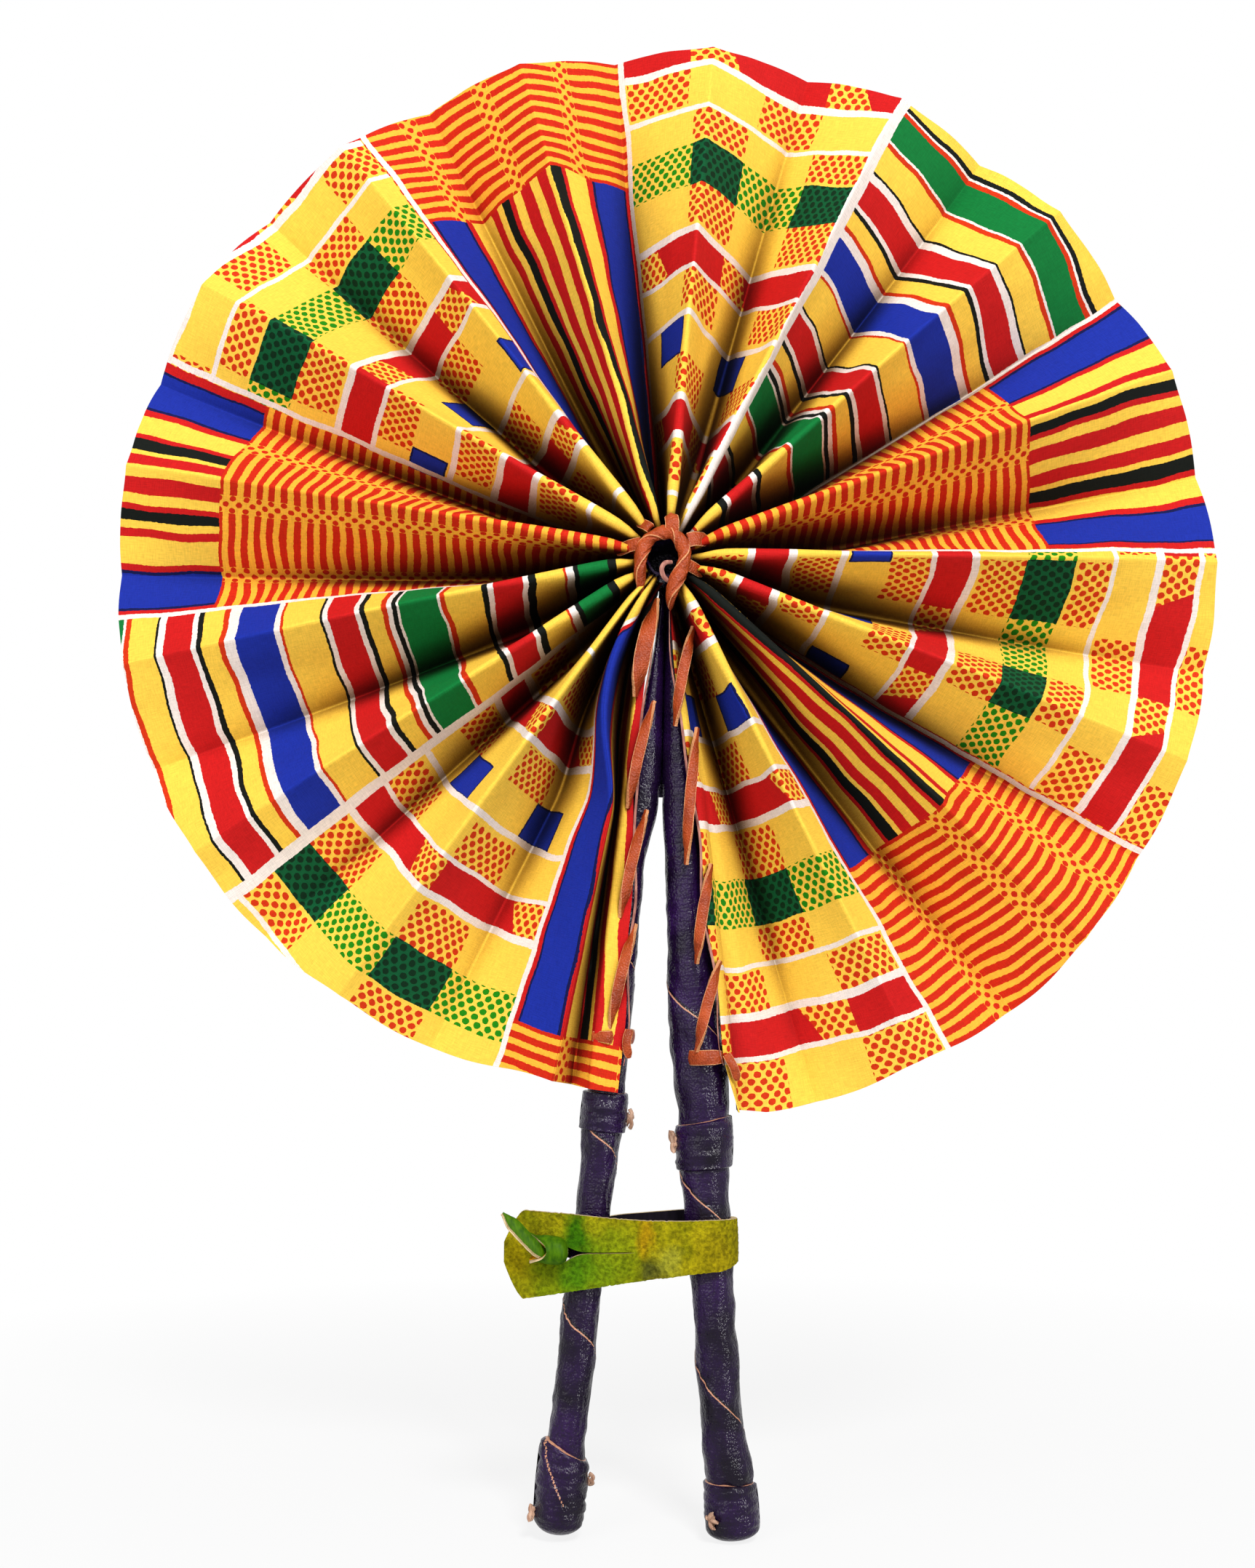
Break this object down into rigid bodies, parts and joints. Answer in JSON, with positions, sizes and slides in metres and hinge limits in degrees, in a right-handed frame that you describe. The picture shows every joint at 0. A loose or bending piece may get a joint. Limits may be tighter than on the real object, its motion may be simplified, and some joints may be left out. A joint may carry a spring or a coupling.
{
  "type": "folding hand fan",
  "caption": "Folding hand fan with a pleated kente-print cotton disc laced between leather-wrapped wooden sticks, with a suede strap and toggle to hold it open",
  "frame": {"origin": "on the right handle's axis, in the middle of the grip, at the height of the strap", "axes": "+X to the right of the open disc seen from the front, +Y to the back, +Z from the handles up to the top of the disc"},
  "size_m": [0.336, 0.035, 0.4538],
  "materials": {
    "purple_leather": "smooth dyed leather, soft sheen",
    "stick_wood": "plain turned wood",
    "kente_cloth": "printed cotton, crisp pleats",
    "tan_lace": "flat tan leather lace with pale raw edges",
    "rawhide": "dry twisted rawhide thread",
    "suede": "yellow-green suede, matt nap"
  },
  "bodies": {
    "right_stick": {"right_stick_wrap": "purple_leather", "right_stick_core": "stick_wood", "right_cuff": "purple_leather", "right_end_cap": "purple_leather", "right_cuff_knot": "rawhide", "right_cap_knot": "rawhide", "leaf_edge_right": "kente_cloth", "lace_hub_ring": "tan_lace", "lace_right_run": "tan_lace", "lace_right_tie": "tan_lace", "strap_loop": "suede"},
    "fold_01": {"leaf_fold_01": "kente_cloth"},
    "fold_02": {"leaf_fold_02": "kente_cloth"},
    "fold_03": {"leaf_fold_03": "kente_cloth"},
    "fold_04": {"leaf_fold_04": "kente_cloth"},
    "fold_05": {"leaf_fold_05": "kente_cloth"},
    "fold_06": {"leaf_fold_06": "kente_cloth"},
    "fold_07": {"leaf_fold_07": "kente_cloth"},
    "fold_08": {"leaf_fold_08": "kente_cloth"},
    "fold_09": {"leaf_fold_09": "kente_cloth"},
    "fold_10": {"leaf_fold_10": "kente_cloth"},
    "fold_11": {"leaf_fold_11": "kente_cloth"},
    "fold_12": {"leaf_fold_12": "kente_cloth"},
    "fold_13": {"leaf_fold_13": "kente_cloth"},
    "fold_14": {"leaf_fold_14": "kente_cloth"},
    "fold_15": {"leaf_fold_15": "kente_cloth"},
    "fold_16": {"leaf_fold_16": "kente_cloth"},
    "fold_17": {"leaf_fold_17": "kente_cloth"},
    "fold_18": {"leaf_fold_18": "kente_cloth"},
    "fold_19": {"leaf_fold_19": "kente_cloth"},
    "fold_20": {"leaf_fold_20": "kente_cloth"},
    "fold_21": {"leaf_fold_21": "kente_cloth"},
    "fold_22": {"leaf_fold_22": "kente_cloth"},
    "fold_23": {"leaf_fold_23": "kente_cloth"},
    "fold_24": {"leaf_fold_24": "kente_cloth"},
    "fold_25": {"leaf_fold_25": "kente_cloth"},
    "fold_26": {"leaf_fold_26": "kente_cloth"},
    "fold_27": {"leaf_fold_27": "kente_cloth"},
    "fold_28": {"leaf_fold_28": "kente_cloth"},
    "fold_29": {"leaf_fold_29": "kente_cloth"},
    "fold_30": {"leaf_fold_30": "kente_cloth"},
    "fold_31": {"leaf_fold_31": "kente_cloth"},
    "fold_32": {"leaf_fold_32": "kente_cloth"},
    "left_stick": {"left_stick_wrap": "purple_leather", "left_stick_core": "stick_wood", "left_cuff": "purple_leather", "left_end_cap": "purple_leather", "left_cuff_knot": "rawhide", "left_cap_knot": "rawhide", "leaf_edge_left": "kente_cloth", "lace_left_run": "tan_lace", "lace_left_tie": "tan_lace"},
    "strap_front": {"strap_front_arm": "suede"},
    "strap_back": {"strap_back_arm": "suede", "strap_toggle": "suede"}
  },
  "joints": [
    {"name": "hinge_fold_01", "type": "hinge", "parent": "right_stick", "child": "fold_01", "pos_m": [-0.01387, 0, 0.21455], "axis": [0.3864, 0.9194, 0.0733], "range_deg": [0, 9.93], "deforming": ["leaf_fold_01", "leaf_edge_right"]},
    {"name": "hinge_fold_02", "type": "hinge", "parent": "fold_01", "child": "fold_02", "pos_m": [-0.01387, 0, 0.21455], "axis": [-0.564, 0.798, -0.2122], "range_deg": [0, 12.96], "deforming": ["leaf_fold_02"]},
    {"name": "hinge_fold_03", "type": "hinge", "parent": "fold_02", "child": "fold_03", "pos_m": [-0.01387, 0, 0.21455], "axis": [0.5152, 0.798, 0.3126], "range_deg": [0, 12.96], "deforming": ["leaf_fold_03"]},
    {"name": "hinge_fold_04", "type": "hinge", "parent": "fold_03", "child": "fold_04", "pos_m": [-0.01387, 0, 0.21455], "axis": [-0.4487, 0.798, -0.4022], "range_deg": [0, 12.96], "deforming": ["leaf_fold_04"]},
    {"name": "hinge_fold_05", "type": "hinge", "parent": "fold_04", "child": "fold_05", "pos_m": [-0.01387, 0, 0.21455], "axis": [0.3668, 0.798, 0.4781], "range_deg": [0, 12.96], "deforming": ["leaf_fold_05"]},
    {"name": "hinge_fold_06", "type": "hinge", "parent": "fold_05", "child": "fold_06", "pos_m": [-0.01387, 0, 0.21455], "axis": [-0.2723, 0.798, -0.5376], "range_deg": [0, 12.96], "deforming": ["leaf_fold_06"]},
    {"name": "hinge_fold_07", "type": "hinge", "parent": "fold_06", "child": "fold_07", "pos_m": [-0.01387, 0, 0.21455], "axis": [0.1684, 0.798, 0.5786], "range_deg": [0, 12.96], "deforming": ["leaf_fold_07"]},
    {"name": "hinge_fold_08", "type": "hinge", "parent": "fold_07", "child": "fold_08", "pos_m": [-0.01387, 0, 0.21455], "axis": [-0.0588, 0.798, -0.5997], "range_deg": [0, 12.96], "deforming": ["leaf_fold_08"]},
    {"name": "hinge_fold_09", "type": "hinge", "parent": "fold_08", "child": "fold_09", "pos_m": [-0.01387, 0, 0.21455], "axis": [-0.0528, 0.798, 0.6003], "range_deg": [0, 12.96], "deforming": ["leaf_fold_09"]},
    {"name": "hinge_fold_10", "type": "hinge", "parent": "fold_09", "child": "fold_10", "pos_m": [-0.01387, 0, 0.21455], "axis": [0.1627, 0.798, -0.5802], "range_deg": [0, 12.96], "deforming": ["leaf_fold_10"]},
    {"name": "hinge_fold_11", "type": "hinge", "parent": "fold_10", "child": "fold_11", "pos_m": [-0.01387, 0, 0.21455], "axis": [-0.2669, 0.798, 0.5403], "range_deg": [0, 12.96], "deforming": ["leaf_fold_11"]},
    {"name": "hinge_fold_12", "type": "hinge", "parent": "fold_11", "child": "fold_12", "pos_m": [-0.01387, 0, 0.21455], "axis": [0.362, 0.798, -0.4817], "range_deg": [0, 12.96], "deforming": ["leaf_fold_12"]},
    {"name": "hinge_fold_13", "type": "hinge", "parent": "fold_12", "child": "fold_13", "pos_m": [-0.01387, 0, 0.21455], "axis": [-0.4447, 0.798, 0.4067], "range_deg": [0, 12.96], "deforming": ["leaf_fold_13"]},
    {"name": "hinge_fold_14", "type": "hinge", "parent": "fold_13", "child": "fold_14", "pos_m": [-0.01387, 0, 0.21455], "axis": [0.512, 0.798, -0.3177], "range_deg": [0, 12.96], "deforming": ["leaf_fold_14"]},
    {"name": "hinge_fold_15", "type": "hinge", "parent": "fold_14", "child": "fold_15", "pos_m": [-0.01387, 0, 0.21455], "axis": [-0.5619, 0.798, 0.2178], "range_deg": [0, 12.96], "deforming": ["leaf_fold_15"]},
    {"name": "hinge_fold_16", "type": "hinge", "parent": "fold_15", "child": "fold_16", "pos_m": [-0.01387, 0, 0.21455], "axis": [0.5924, 0.798, -0.1104], "range_deg": [0, 12.96], "deforming": ["leaf_fold_16"]},
    {"name": "hinge_fold_17", "type": "hinge", "parent": "fold_16", "child": "fold_17", "pos_m": [-0.01387, 0, 0.21455], "axis": [-0.6026, 0.798, -0.0008], "range_deg": [0, 12.96], "deforming": ["leaf_fold_17"]},
    {"name": "hinge_fold_18", "type": "hinge", "parent": "fold_17", "child": "fold_18", "pos_m": [-0.01387, 0, 0.21455], "axis": [0.5921, 0.798, 0.1119], "range_deg": [0, 12.96], "deforming": ["leaf_fold_18"]},
    {"name": "hinge_fold_19", "type": "hinge", "parent": "fold_18", "child": "fold_19", "pos_m": [-0.01387, 0, 0.21455], "axis": [-0.5613, 0.798, -0.2192], "range_deg": [0, 12.96], "deforming": ["leaf_fold_19"]},
    {"name": "hinge_fold_20", "type": "hinge", "parent": "fold_19", "child": "fold_20", "pos_m": [-0.01387, 0, 0.21455], "axis": [0.5112, 0.798, 0.319], "range_deg": [0, 12.96], "deforming": ["leaf_fold_20"]},
    {"name": "hinge_fold_21", "type": "hinge", "parent": "fold_20", "child": "fold_21", "pos_m": [-0.01387, 0, 0.21455], "axis": [-0.4436, 0.798, -0.4079], "range_deg": [0, 12.96], "deforming": ["leaf_fold_21"]},
    {"name": "hinge_fold_22", "type": "hinge", "parent": "fold_21", "child": "fold_22", "pos_m": [-0.01387, 0, 0.21455], "axis": [0.3607, 0.798, 0.4827], "range_deg": [0, 12.96], "deforming": ["leaf_fold_22"]},
    {"name": "hinge_fold_23", "type": "hinge", "parent": "fold_22", "child": "fold_23", "pos_m": [-0.01387, 0, 0.21455], "axis": [-0.2655, 0.798, -0.541], "range_deg": [0, 12.96], "deforming": ["leaf_fold_23"]},
    {"name": "hinge_fold_24", "type": "hinge", "parent": "fold_23", "child": "fold_24", "pos_m": [-0.01387, 0, 0.21455], "axis": [0.1611, 0.798, 0.5806], "range_deg": [0, 12.96], "deforming": ["leaf_fold_24"]},
    {"name": "hinge_fold_25", "type": "hinge", "parent": "fold_24", "child": "fold_25", "pos_m": [-0.01387, 0, 0.21455], "axis": [-0.0513, 0.798, -0.6004], "range_deg": [0, 12.96], "deforming": ["leaf_fold_25"]},
    {"name": "hinge_fold_26", "type": "hinge", "parent": "fold_25", "child": "fold_26", "pos_m": [-0.01387, 0, 0.21455], "axis": [-0.0604, 0.798, 0.5996], "range_deg": [0, 12.96], "deforming": ["leaf_fold_26"]},
    {"name": "hinge_fold_27", "type": "hinge", "parent": "fold_26", "child": "fold_27", "pos_m": [-0.01387, 0, 0.21455], "axis": [0.17, 0.798, -0.5781], "range_deg": [0, 12.96], "deforming": ["leaf_fold_27"]},
    {"name": "hinge_fold_28", "type": "hinge", "parent": "fold_27", "child": "fold_28", "pos_m": [-0.01387, 0, 0.21455], "axis": [-0.2737, 0.798, 0.5369], "range_deg": [0, 12.96], "deforming": ["leaf_fold_28"]},
    {"name": "hinge_fold_29", "type": "hinge", "parent": "fold_28", "child": "fold_29", "pos_m": [-0.01387, 0, 0.21455], "axis": [0.368, 0.798, -0.4772], "range_deg": [0, 12.96], "deforming": ["leaf_fold_29"]},
    {"name": "hinge_fold_30", "type": "hinge", "parent": "fold_29", "child": "fold_30", "pos_m": [-0.01387, 0, 0.21455], "axis": [-0.4497, 0.798, 0.4011], "range_deg": [0, 12.96], "deforming": ["leaf_fold_30"]},
    {"name": "hinge_fold_31", "type": "hinge", "parent": "fold_30", "child": "fold_31", "pos_m": [-0.01387, 0, 0.21455], "axis": [0.516, 0.798, -0.3112], "range_deg": [0, 12.96], "deforming": ["leaf_fold_31"]},
    {"name": "hinge_fold_32", "type": "hinge", "parent": "fold_31", "child": "fold_32", "pos_m": [-0.01387, 0, 0.21455], "axis": [-0.5646, 0.798, 0.2107], "range_deg": [0, 12.96], "deforming": ["leaf_fold_32"]},
    {"name": "hinge_left_stick", "type": "hinge", "parent": "fold_32", "child": "left_stick", "pos_m": [-0.01387, 0, 0.21455], "axis": [0.5222, 0.8455, -0.1116], "range_deg": [0, 7.31], "deforming": ["leaf_edge_left"]},
    {"name": "swing_strap_front", "type": "hinge", "parent": "right_stick", "child": "strap_front", "pos_m": [-0.00096, -0.00757, 0.0117], "axis": [0, 0, 1], "range_deg": [0, 110], "deforming": ["strap_front_arm"]},
    {"name": "swing_strap_back", "type": "hinge", "parent": "right_stick", "child": "strap_back", "pos_m": [-0.00096, 0.00757, 0.0117], "axis": [0, 0, -1], "range_deg": [0, 100], "deforming": ["strap_back_arm", "strap_toggle"]}
  ],
  "couplings": [
    {"joint": "hinge_fold_01", "follows": "hinge_left_stick", "ratio": 1.3585},
    {"joint": "hinge_fold_02", "follows": "hinge_left_stick", "ratio": 1.7739},
    {"joint": "hinge_fold_03", "follows": "hinge_left_stick", "ratio": 1.7739},
    {"joint": "hinge_fold_04", "follows": "hinge_left_stick", "ratio": 1.7739},
    {"joint": "hinge_fold_05", "follows": "hinge_left_stick", "ratio": 1.7739},
    {"joint": "hinge_fold_06", "follows": "hinge_left_stick", "ratio": 1.7739},
    {"joint": "hinge_fold_07", "follows": "hinge_left_stick", "ratio": 1.7739},
    {"joint": "hinge_fold_08", "follows": "hinge_left_stick", "ratio": 1.7739},
    {"joint": "hinge_fold_09", "follows": "hinge_left_stick", "ratio": 1.7739},
    {"joint": "hinge_fold_10", "follows": "hinge_left_stick", "ratio": 1.7739},
    {"joint": "hinge_fold_11", "follows": "hinge_left_stick", "ratio": 1.7739},
    {"joint": "hinge_fold_12", "follows": "hinge_left_stick", "ratio": 1.7739},
    {"joint": "hinge_fold_13", "follows": "hinge_left_stick", "ratio": 1.7739},
    {"joint": "hinge_fold_14", "follows": "hinge_left_stick", "ratio": 1.7739},
    {"joint": "hinge_fold_15", "follows": "hinge_left_stick", "ratio": 1.7739},
    {"joint": "hinge_fold_16", "follows": "hinge_left_stick", "ratio": 1.7739},
    {"joint": "hinge_fold_17", "follows": "hinge_left_stick", "ratio": 1.7739},
    {"joint": "hinge_fold_18", "follows": "hinge_left_stick", "ratio": 1.7739},
    {"joint": "hinge_fold_19", "follows": "hinge_left_stick", "ratio": 1.7739},
    {"joint": "hinge_fold_20", "follows": "hinge_left_stick", "ratio": 1.7739},
    {"joint": "hinge_fold_21", "follows": "hinge_left_stick", "ratio": 1.7739},
    {"joint": "hinge_fold_22", "follows": "hinge_left_stick", "ratio": 1.7739},
    {"joint": "hinge_fold_23", "follows": "hinge_left_stick", "ratio": 1.7739},
    {"joint": "hinge_fold_24", "follows": "hinge_left_stick", "ratio": 1.7739},
    {"joint": "hinge_fold_25", "follows": "hinge_left_stick", "ratio": 1.7739},
    {"joint": "hinge_fold_26", "follows": "hinge_left_stick", "ratio": 1.7739},
    {"joint": "hinge_fold_27", "follows": "hinge_left_stick", "ratio": 1.7739},
    {"joint": "hinge_fold_28", "follows": "hinge_left_stick", "ratio": 1.7739},
    {"joint": "hinge_fold_29", "follows": "hinge_left_stick", "ratio": 1.7739},
    {"joint": "hinge_fold_30", "follows": "hinge_left_stick", "ratio": 1.7739},
    {"joint": "hinge_fold_31", "follows": "hinge_left_stick", "ratio": 1.7739},
    {"joint": "hinge_fold_32", "follows": "hinge_left_stick", "ratio": 1.7739}
  ]
}
